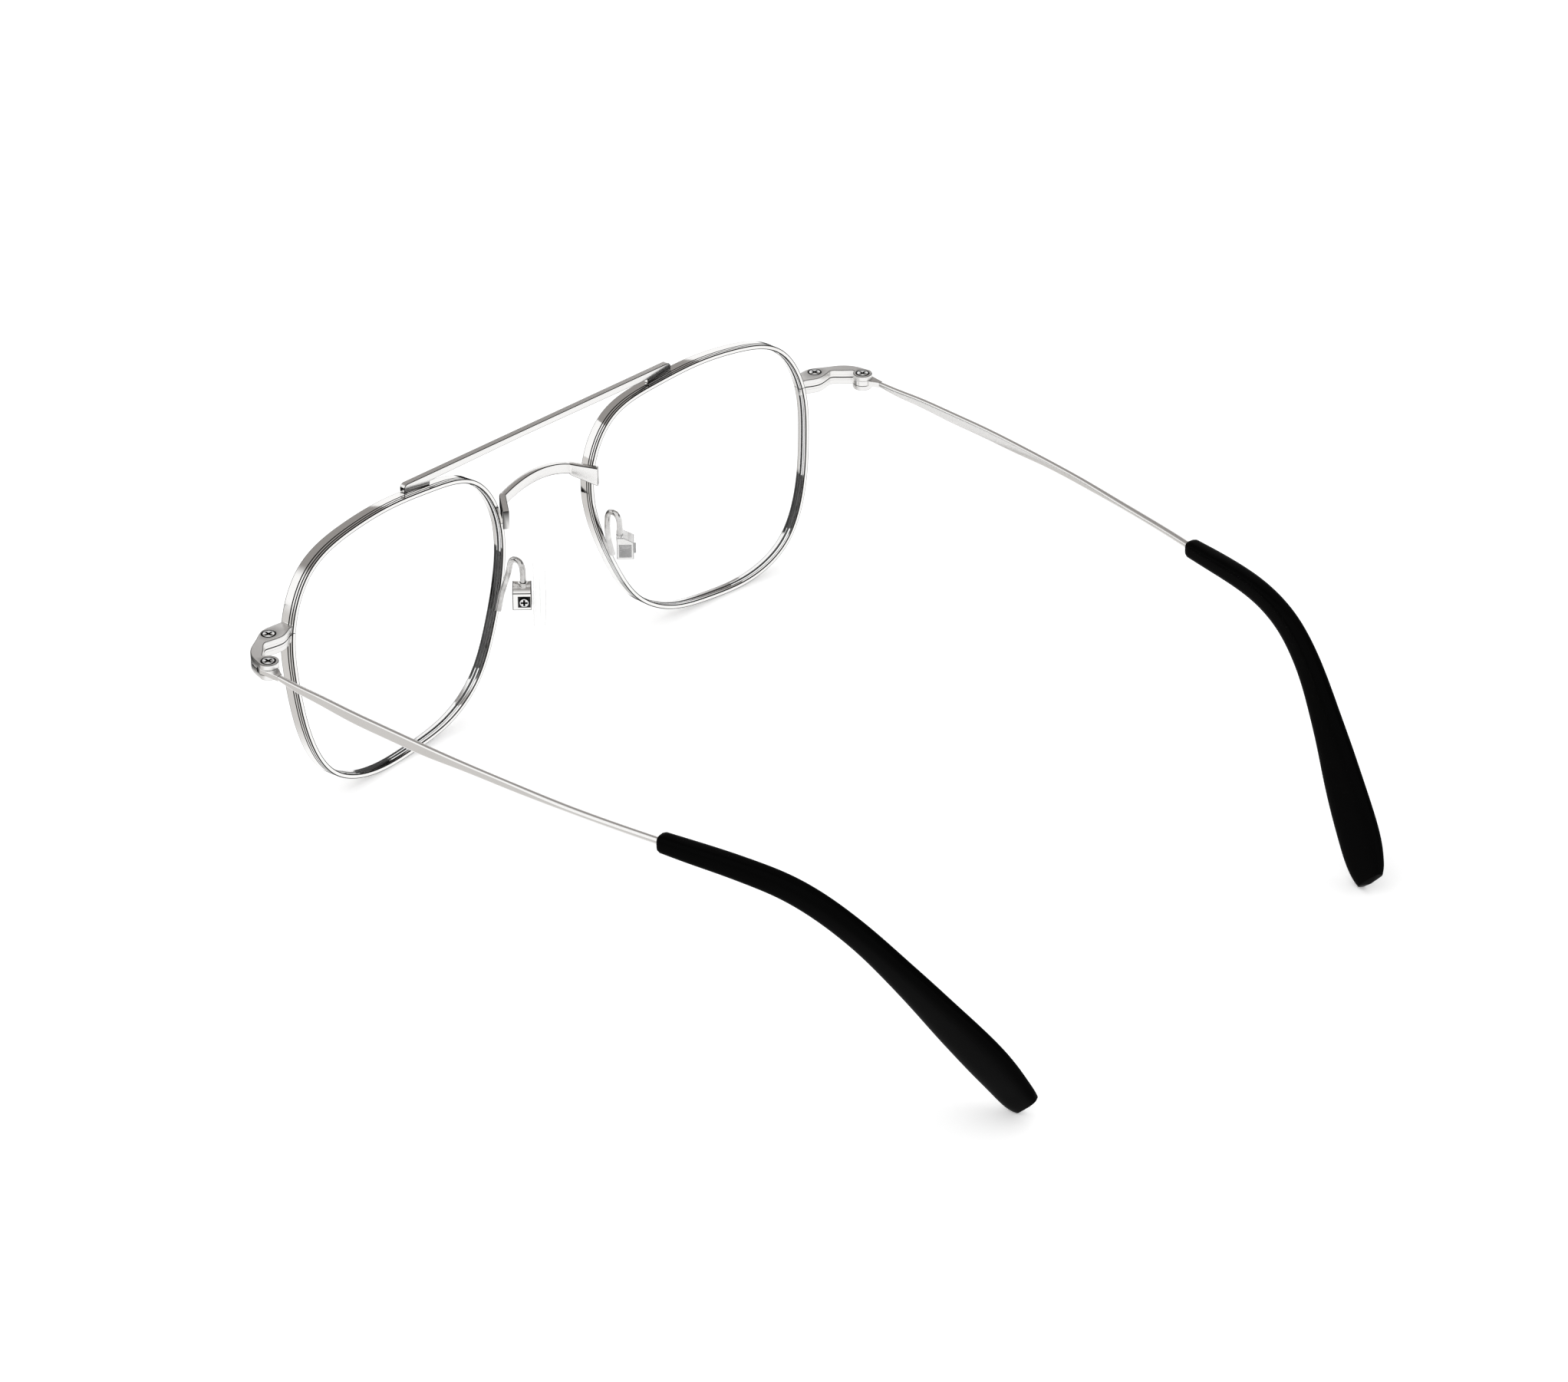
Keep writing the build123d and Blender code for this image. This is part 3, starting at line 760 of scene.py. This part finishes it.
def build_rim(side_name, side):
    """The profile carried round the oval from one side of the split to the other."""
    line, inward = oval(rim_places)
    height = on_front(line, np.zeros(rim_places))[:, 2]
    start = int(np.argmin(np.abs(height - hinge[2]) + np.where(line[:, 0] > 0, 0.0, 1000.0)))
    line, inward = np.roll(line, -start, axis=0), np.roll(inward, -start, axis=0)
    ahead = unit(line[1] - line[0])
    line = np.vstack([line, line[:1]])
    inward = np.vstack([inward, inward[:1]])
    line[0] += ahead * rim_split / 2
    line[-1] -= ahead * rim_split / 2
    keep = np.unique(np.concatenate([np.arange(0, rim_places, 2), [rim_places]]))
    line, inward = line[keep], inward[keep]
    profile = rim_profile()
    flat = line[:, None] + inward[:, None] * profile[None, :, :1]
    depth = np.broadcast_to(profile[:, 1], flat.shape[:2])
    grid = mirror(on_front(flat, depth), side)
    # The painted shade of each section row, the same all round the rim
    painted_shade = np.broadcast_to(profile[:, 2], flat.shape[:2]).reshape(-1)
    mesh = grid_mesh(f"{side_name}_rim_band", grid, attributes={"lines": painted_shade})
    add_piece(f"{side_name}_rim_band", mesh, silver, "front", f"rim_{side_name}")


def build_lens(side_name, side):
    """Two domes of one radius, the lens thickness apart, joined round the edge by the tongue
    that sits in the rim's groove."""
    line, inward = oval(lens_places)
    edge = line + inward * (rim_wall + lens_clearance)
    tongue = line + inward * (groove_inset + lens_clearance)
    radial = np.array(dome_shares)[:, None, None] * edge[None]
    sag = lens_radius - np.sqrt(lens_radius**2 - (radial**2).sum(-1))
    front = on_front(radial, lens_front_inset + sag)
    rear = on_front(radial, lens_front_inset + lens_thickness + sag)[::-1]
    level = np.ones(len(line))
    first = groove_front + lens_clearance
    last = groove_back - lens_clearance
    middle = [
        on_front(edge, level * first),
        on_front(tongue, level * first),
        on_front(tongue, level * last),
        on_front(edge, level * last),
    ]
    grid = mirror(np.concatenate([front, middle, rear]), side)
    name = f"{side_name}_lens_clear"
    mesh = grid_mesh(name, grid)
    lens = add_piece(name, mesh, lens_glass, "front", f"lens_{side_name}")
    let_light_through(lens)


def build_bridge():
    """A rounded strip carried along the arch, whose rise is a parabola, and round the two bends
    into the tabs, where its middle and height change evenly."""
    rear = hinge[1] - bridge_rear_from_hinge
    middle_y = rear - bridge_thickness / 2
    tab_step = np.array([tab_reach, tab_back])
    tab_side = np.array([tab_back, -tab_reach]) / np.linalg.norm(tab_step) * bridge_thickness / 2
    bend = np.array([bridge_half_span + bend_out, middle_y])
    end = np.array([bridge_half_span, rear]) + tab_step + tab_side
    past_bend = bend + bend_share * (end - bend)
    half = np.array([[0.0, middle_y], bend - (bend_run, 0), bend, past_bend, end])
    half = round_the_corners(half, 3)
    plan = np.vstack([half[:0:-1] * (-1, 1), half])
    x = plan[:, 0]
    arch = np.clip(np.abs(x) / bridge_half_span, 0, 1)
    tab = np.clip((np.abs(x) - bridge_half_span) / (end[0] - bridge_half_span), 0, 1)
    arch_middle = bridge_end_bottom + bridge_height / 2 + bridge_rise * (1 - arch**2)
    middle_z = arch_middle + (tab_middle - arch_middle) * tab
    fine = np.linspace(0, 1, 121)
    share = np.linspace(0, 1, len(x))
    path = np.stack([np.interp(fine, share, c) for c in (x, plan[:, 1], middle_z)], axis=1)
    height = bridge_height + (tab_height - bridge_height) * np.interp(fine, share, tab)
    heading = unit(np.gradient(path[:, :2], axis=0))
    across = np.stack([-heading[:, 1], heading[:, 0], np.zeros(len(fine))], axis=1)
    up = np.tile([0.0, 0.0, 1.0], (len(fine), 1))
    sizes = np.full(len(fine), bridge_thickness / 2), height / 2, np.full(len(fine), bridge_edge)
    grid = carry(path, across, up, *round_boxes(*sizes, steps=4))
    # The strip's round corners are painted near-black, a painted dark reflection along its edges
    corner_painted_shade = np.tile([0.0, 1.0, 1.0, 1.0, 0.0], (len(fine), 4))
    mesh = grid_mesh("lower_bridge_strip", grid, attributes={"lines": corner_painted_shade.reshape(-1)})
    add_piece("lower_bridge_strip", mesh, satin_silver, "front", "bridge")


def build_pad_arm(side_name, side):
    """A round wire on the smooth curve inside the path's corners, with flat ends."""
    points = np.array(arm_points) + (0, hinge[1], 0)
    path = round_the_corners(points, 4)
    heading = unit(np.gradient(path, axis=0))
    across = unit(np.cross(heading, np.array(arm_side)))
    radius = np.full(len(path), arm_diameter / 2)
    grid = carry(path, across, np.cross(heading, across), *round_boxes(radius, radius, radius, 5))
    name = f"{side_name}_pad_wire"
    mesh = grid_mesh(name, mirror(grid, side))
    add_piece(name, mesh, wire_silver, "front", f"pad_arm_{side_name}")


def build_nose_pad(side_name, side):
    """A drop-shaped pillow: the outline scaled inwards over a flat back and a domed face."""
    along_screw, to_nose, up = pad_screw_axes
    points = np.array(pad_outline_shares) * (pad_width, pad_height)
    line = spline(points, pad_places, closed=True, path_columns=2)
    flat = np.array(pad_row_sizes)[:, None, None] * line
    away = pad_from_screw + np.array(pad_row_lifts)[:, None, None] * pad_thickness
    grid = pad_centre + flat[..., :1] * along_screw + flat[..., 1:] * up + away * to_nose
    name = f"{side_name}_pad_silicone"
    mesh = grid_mesh(name, mirror(grid, side))
    body = f"pad_{side_name}"
    pad = add_piece(name, mesh, silicone, body, f"nose_pad_{side_name}")
    let_light_through(pad)


def temple_line(stations):
    """The temple's middle line: straight at first, then a parabola inwards. The stations
    give the way back, the rise and the sizes of its section."""
    stations = np.asarray(stations, float)
    back = stations[:, 0] * tip_from_hinge
    bend = np.clip(back - straight_length, 0, None) / (tip_from_hinge - straight_length)
    x = hinge[0] + neck_offset - temple_bow * bend**2
    z = hinge[2] + stations[:, 1] * blade_height
    return np.column_stack([x, hinge[1] + back, z, stations[:, 2:]])


def neck_plate():
    """The outline of the eye and neck in plan, about the hinge: an arc and two straight runs."""
    inner = np.array([-neck_inner_share * knuckle_radius, knuckle_radius])
    start = math.atan2(inner[1], inner[0])
    angles = np.linspace(start, 2 * math.pi, 60)
    arc = knuckle_radius * np.stack([np.cos(angles), np.sin(angles)], axis=1)
    half = blade_thickness / 2
    outer_end = (neck_offset + half, neck_length)
    inner_end = (neck_offset - half, neck_length)
    outer_run = np.linspace(arc[-1], outer_end, 12)[1:]
    end_run = np.linspace(outer_end, inner_end, 5)[1:]
    inner_run = np.linspace(inner_end, inner, 12)[1:-1]
    return np.vstack([arc, outer_run, end_run, inner_run])


def build_temple(side_name, side):
    """The blade and wire as one tube of round-cornered sections, and the eye as a plate with
    the screw's hole through it."""
    corner = blade_corner_share * blade_thickness
    stations = [(b, r, blade_thickness, h * blade_height, corner) for b, r, h in blade_shares]
    corner = wire_corner_share * wire_diameter
    stations += [(b, r, wire_diameter, wire_diameter, corner) for b, r in wire_shares]
    line = spline(temple_line(stations), temple_places)
    across, up = steep_frames(line[:, :3])
    sections = round_boxes(line[:, 3] / 2, line[:, 4] / 2, line[:, 5])
    blade = carry(line[:, :3], across, up, *sections)
    outline = neck_plate()
    heading = unit(np.roll(outline, -1, axis=0) - np.roll(outline, 1, axis=0))
    inward = np.stack([-heading[:, 1], heading[:, 0]], axis=1)
    hole = unit(outline) * eye_hole_radius
    top = eye_height / 2
    side_top = top - eye_edge
    inside = outline + inward * eye_edge
    rows = [
        (hole, top), (inside, top), (outline, side_top),
        (outline, -side_top), (inside, -top), (hole, -top),
    ]
    plate = [np.column_stack([flat, np.full(len(flat), z)]) for flat, z in rows]
    plate = np.stack(plate) + hinge
    faces = grid_faces(*blade.shape[:2])
    shift = blade.shape[0] * blade.shape[1]
    plate_faces = grid_faces(*plate.shape[:2], ring=True)
    faces += [[shift + index for index in face] for face in plate_faces]
    points = np.vstack([blade.reshape(-1, 3), plate.reshape(-1, 3)])
    name = f"{side_name}_temple_blade"
    mesh = make_mesh(name, mirror(points, side), faces)
    body = node = f"temple_{side_name}"
    add_piece(name, mesh, satin_silver, body, node)


def build_tip(side_name, side):
    """Oval sections along the sleeve, round the bend and down the paddle, drawn in at both
    ends by a quarter circle. An oval's parts are powers of its angle's cosine and sine."""
    stations = [
        (
            hinge[0] - inset * tip_inset,
            hinge[1] + tip_from_hinge + back * (temple_reach - tip_from_hinge),
            height * hinge[2],
            width * tip_width,
            thickness * tip_thickness,
        )
        for back, inset, height, width, thickness in tip_shares
    ]
    line = spline(stations, tip_places)
    path, width, thickness = line[:, :3], line[:, 3], line[:, 4]
    run = np.concatenate([[0.0], np.cumsum(np.linalg.norm(np.diff(path, axis=0), axis=1))])
    closing = np.minimum(run / tip_front_round, (run[-1] - run) / tip_rear_round)
    closing = np.minimum(closing, 1.0)
    drawn_in = np.sqrt(np.clip(1 - (1 - closing) ** 2, tip_least_squared, 1.0))
    across, up = steep_frames(path)
    angle = np.linspace(0, 2 * math.pi, tip_section_places, endpoint=False)
    section_across = np.sign(np.cos(angle)) * np.abs(np.cos(angle)) ** tip_bulge
    section_up = np.sign(np.sin(angle)) * np.abs(np.sin(angle)) ** tip_bulge
    half_thickness = (drawn_in * thickness / 2)[:, None] * section_across
    half_width = (drawn_in * width / 2)[:, None] * section_up
    grid = mirror(carry(path, across, up, half_thickness, half_width), side)
    name = f"{side_name}_tip_sleeve"
    node = f"temple_tip_{side_name}"
    add_piece(name, grid_mesh(name, grid), acetate, f"temple_{side_name}", node)


def filled_block(walls, level_of_faces):
    """Closes the open ends of upright walls with flat faces, one for each level of ends. An
    end inside another one becomes a hole in it."""
    points, faces, painted_shade = [], [], []
    for grid, marks in walls:
        rows, columns = grid.shape[:2]
        shift = len(points)
        wall_faces = grid_faces(rows, columns)[:-2]
        faces += [[shift + index for index in face] for face in wall_faces]
        points += grid.reshape(-1, 3).tolist()
        # Each wall row's share of painted shade, for every point of the row
        painted_shade += np.repeat(marks, columns).tolist()
    mesh = bpy.data.meshes.new("block")
    mesh.from_pydata(points, [], faces)
    shape = bmesh.new()
    shape.from_mesh(mesh)
    for level in level_of_faces:
        open_edges = [edge for edge in shape.edges if edge.is_boundary]
        edges = [
            edge for edge in open_edges if all(abs(vert.co.z - level) < 1e-4 for vert in edge.verts)
        ]
        bmesh.ops.triangle_fill(shape, use_beauty=True, edges=edges)
    closed = [[vert.index for vert in face.verts] for face in shape.faces]
    shape.free()
    bpy.data.meshes.remove(mesh)
    return np.array(points), closed, painted_shade


def end_piece_plan():
    """The closed outline of an end piece: a curve outside, the knuckle's arc, and the inside."""
    outer = spline(outer_plan, 40, path_columns=2)[:-1]
    last = math.atan2(inner_plan[0][1], inner_plan[0][0]) + 2 * math.pi
    turn = np.linspace(0, last, 40)
    knuckle = knuckle_radius * np.stack([np.cos(turn), np.sin(turn)], axis=1)
    inner = round_the_corners(np.array(inner_plan[:7]), 3)
    return np.vstack([outer, knuckle, inner, np.array(inner_plan[7:])])


def without_knuckle(plan):
    """The outline with the slot's disc cut away round the hinge."""
    away = np.linalg.norm(plan, axis=1) > eye_slot_radius
    first = int(np.argmin(away))
    last = len(plan) - int(np.argmin(away[::-1]))
    before, after = plan[first - 1], plan[last % len(plan)]
    start, end = math.atan2(before[1], before[0]), math.atan2(after[1], after[0])
    turn = np.linspace(start, end, 24)
    arc = eye_slot_radius * np.stack([np.cos(turn), np.sin(turn)], axis=1)
    return np.vstack([plan[:first], arc, plan[last:]])


def upright(plan, rows, sign):
    """Walls over a closed outline. Each row has an inset, a height over the seam and a share of
    painted shade.
    """
    heading = unit(np.roll(plan, -1, axis=0) - np.roll(plan, 1, axis=0))
    inward = np.stack([-heading[:, 1], heading[:, 0]], axis=1)
    level = np.ones(len(plan)) * sign
    grid = [np.column_stack([plan + inward * inset, level * z]) for inset, z, _ in rows]
    return np.array(grid) + hinge, [painted_shade for _, _, painted_shade in rows]


def build_end_piece(side_name, side, half, sign):
    """A curved block over or under the seam with round edges, a slot for the temple's eye and
    a hole for each screw."""
    top = end_piece_height / 2
    edge = end_piece_edge
    plan = end_piece_plan()
    slot_top = eye_slot_half + eye_slot_step
    # Third number of each row is painted shade: the round top edge is painted dark as a dark
    # reflection, and the slot's mouth, the seam gap and the screw holes near-black as their shade
    over = [
        (edge + edge_fade, top, 0.0), (edge, top, 0.7), (0.3 * edge, top - 0.3 * edge, 0.7),
        (0.0, top - edge, 0.0), (0.0, eye_slot_half + eye_slot_fade, 0.0),
        (0.0, eye_slot_half, 0.6),
    ]
    under = [
        (0.004, slot_top, 0.0), (0.004, seam_half + seam_fade, 0.0),
        (0.01, seam_half + seam_edge, 1.0), (seam_edge, seam_half, 1.0),
    ]
    radius = head_hole_radius if sign > 0 else end_hole_radius
    turn = np.linspace(0, -2 * math.pi, 40, endpoint=False)
    circle = np.stack([np.cos(turn), np.sin(turn)], axis=1)
    walls = [upright(plan, over, sign), upright(without_knuckle(plan), under, sign)]
    bottom = top - hole_depth
    rows = [(0.0, top, 0.3), (-hole_edge, top - hole_edge, 1.0), (-hole_edge, bottom, 1.0)]
    for centre in ((0.0, 0.0), closing_screw_plan):
        walls.append(upright(circle * (radius + hole_edge) + centre, rows, sign))
    heights = (top, eye_slot_half, slot_top, seam_half, bottom)
    points, faces, painted_shade = filled_block(walls, [hinge[2] + sign * z for z in heights])
    name = f"{side_name}_end_piece_{half}"
    mesh = make_mesh(name, mirror(points, side), faces, {"lines": painted_shade})
    add_piece(name, mesh, block_silver, "front", f"end_piece_{half}_{side_name}")


def build_machined(name, node, material, body, slot, edge, edge_shade_material=None):
    """The CAD solid's own faces with every sharp edge rounded, its rounds in a near-black metal of
    their own where one is given, a painted dark edge standing for dark reflections."""
    source = frame["nodes"][node].data
    points = np.zeros(len(source.vertices) * 3)
    source.vertices.foreach_get("co", points)
    corners = np.zeros(len(source.loops), int)
    source.loops.foreach_get("vertex_index", corners)
    mesh = bpy.data.meshes.new(name)
    mesh.from_pydata(points.reshape(-1, 3).tolist(), [], corners.reshape(-1, 3).tolist())
    shape = bmesh.new()
    shape.from_mesh(mesh)
    bmesh.ops.remove_doubles(shape, verts=shape.verts, dist=weld_distance * METRES)
    bmesh.ops.dissolve_limit(
        shape, angle_limit=math.radians(flat_angle), verts=shape.verts, edges=shape.edges
    )
    bmesh.ops.recalc_face_normals(shape, faces=shape.faces)
    shape.to_mesh(mesh)
    shape.free()
    mesh.shade_smooth()
    piece = add_piece(name, mesh, material, body, node)
    bevel = piece.modifiers.new("rounded_edges", "BEVEL")
    bevel.width = edge * METRES
    bevel.segments = 2
    bevel.limit_method = "ANGLE"
    bevel.angle_limit = math.radians(bevel_angle)
    bevel.harden_normals = True
    bevel.use_clamp_overlap = edge_shade_material is None
    # The rounds take the near-black painted dark edge material where one is given
    if edge_shade_material:
        mesh.materials.append(edge_shade_material)
        bevel.material = 1
    return piece


def build_object():
    """Every piece: the two that lie across both sides, then each side's."""
    build_bridge()
    bar = ("top_bar_strip", "top_bar", satin_silver)
    build_machined(*bar, "front", "frame_metal", bar_edge, painted_dark_edge)
    for side_name, side in SIDES.items():
        build_rim(side_name, side)
        build_lens(side_name, side)
        build_pad_arm(side_name, side)
        build_nose_pad(side_name, side)
        build_temple(side_name, side)
        build_tip(side_name, side)
        build_end_piece(side_name, side, "upper", 1.0)
        build_end_piece(side_name, side, "lower", -1.0)
        for part, metal in screw_steels.items():
            node = f"{part}_screw_{side_name}"
            name = f"{side_name}_{part}_screw"
            build_machined(name, node, metal, "front", "screw_steel", screw_edge)
        box = (f"{side_name}_pad_box", f"pad_box_{side_name}", box_silver)
        build_machined(*box, "front", "frame_metal", box_edge, painted_dark_edge)
        core = (f"{side_name}_pad_core", f"nose_pad_core_{side_name}", core_plastic)
        body = f"pad_{side_name}"
        let_light_through(build_machined(*core, body, "pad_core_plastic", core_edge))


def build_sheet(name, corners):
    """A flat piece of the room, from its four corners."""
    mesh = bpy.data.meshes.new(name)
    mesh.from_pydata((np.array(corners) * METRES).tolist(), [], [(0, 1, 2, 3)])
    sheet = bpy.data.objects.new(name, mesh)
    bpy.context.scene.collection.objects.link(sheet)
    return sheet


def build_floor():
    """A white floor. The camera, and rays through a lens, see it lit from within, so it stays
    white, and the diffuse part keeps the contact shadow. Reflections don't see it."""
    signs = [(-1, -1), (1, -1), (1, 1), (-1, 1)]
    floor = build_sheet("floor", [(x * floor_half, y * floor_half, 0.0) for x, y in signs])
    material, tree = new_material("white_floor")
    seen = add_node(tree, "ShaderNodeLightPath", output="Is Diffuse Ray")
    sockets = {"Color": grey(1.0), "Strength": floor_glow * (1.0 - seen)}
    glow = add_node(tree, "ShaderNodeEmission", {}, sockets)
    matt = add_node(tree, "ShaderNodeBsdfDiffuse", {}, {"Color": grey(floor_white)})
    end_with(tree, add_node(tree, "ShaderNodeAddShader", {}, {0: glow, 1: matt}))
    floor.data.materials.append(material)
    floor.visible_glossy = False


def reflected(tree):
    """1 for what shiny surfaces reflect, also through a lens, and 0 for what is seen directly."""
    depth = add_node(tree, "ShaderNodeLightPath", output="Glossy Depth")
    return depth.math("MINIMUM", depth, 1.0)


def build_card(name, left, right, low, high, level):
    """An upright card in front of the glasses that only shiny surfaces see."""
    plan = [(left, low), (right, low), (right, high), (left, high)]
    card = build_sheet(name, [(x, card_front, z) for x, z in plan])
    material, tree = new_material(name)
    clear = add_node(tree, "ShaderNodeBsdfTransparent")
    glow = add_node(tree, "ShaderNodeEmission", {}, {"Color": grey(level), "Strength": 1.0})
    sockets = {0: reflected(tree), 1: clear, 2: glow}
    end_with(tree, add_node(tree, "ShaderNodeMixShader", {}, sockets))
    card.data.materials.append(material)
    card.visible_camera = False
    card.visible_diffuse = False
    card.visible_shadow = False


def light_world():
    """A white room. Shiny surfaces also see what stands round such a table: a dark flag low
    down beyond the glasses, a grey one above it, a dark one high on the right and a warm
    grey table top on the left."""
    world = bpy.data.worlds.new("white_room")
    bpy.context.scene.world = world
    world.use_nodes = True
    tree = world.node_tree
    tree.nodes.clear()
    x, y, z = place_parts(tree, "Generated")
    turn = math.radians(camera_azimuth)
    ahead = x * -math.sin(turn) + y * -math.cos(turn)
    right = x * -math.cos(turn) + y * math.sin(turn)
    low_flag = ahead.ramp(0.7, 0.8) * (1.0 - z.ramp(-0.28, -0.08))
    high_flag = ahead.ramp(0.08, 0.3) * z.ramp(0.2, 0.42)
    right_flag = right.ramp(0.5, 0.7) * z.ramp(0.3, 0.5)
    table = (1.0 - right.ramp(-0.75, -0.5)) * (1.0 - z.ramp(0.0, 0.2))
    room = blend_colours(tree, table, grey(1.0), table_colour)
    room = blend_colours(tree, high_flag, room, high_flag_colour)
    room = blend_colours(tree, right_flag, room, grey(right_flag_level))
    room = blend_colours(tree, low_flag, room, grey(low_flag_level))
    colour = blend_colours(tree, reflected(tree), grey(1.0), room)
    background = add_node(tree, "ShaderNodeBackground", {}, {"Color": colour, "Strength": 1.0})
    add_node(tree, "ShaderNodeOutputWorld", {}, {"Surface": background})


def place_camera():
    """The photo's camera: its place, and the way it looks from its azimuth and elevation."""
    data = bpy.data.cameras.new("camera")
    data.lens = camera_lens
    data.sensor_width = camera_sensor
    data.clip_start, data.clip_end = (distance * METRES for distance in camera_clip)
    camera = bpy.data.objects.new("camera", data)
    azimuth, elevation = math.radians(camera_azimuth), math.radians(camera_elevation)
    look = Vector(
        (
            -math.sin(azimuth) * math.cos(elevation),
            -math.cos(azimuth) * math.cos(elevation),
            -math.sin(elevation),
        )
    )
    camera.location = Vector(camera_place) * METRES
    camera.rotation_euler = look.to_track_quat("-Z", "Y").to_euler()
    bpy.context.scene.collection.objects.link(camera)
    bpy.context.scene.camera = camera


build_object()
build_floor()
for card_name, card in cards.items():
    build_card(card_name, *card)
light_world()
place_camera()
bpy.context.scene.view_settings.view_transform = "Standard"
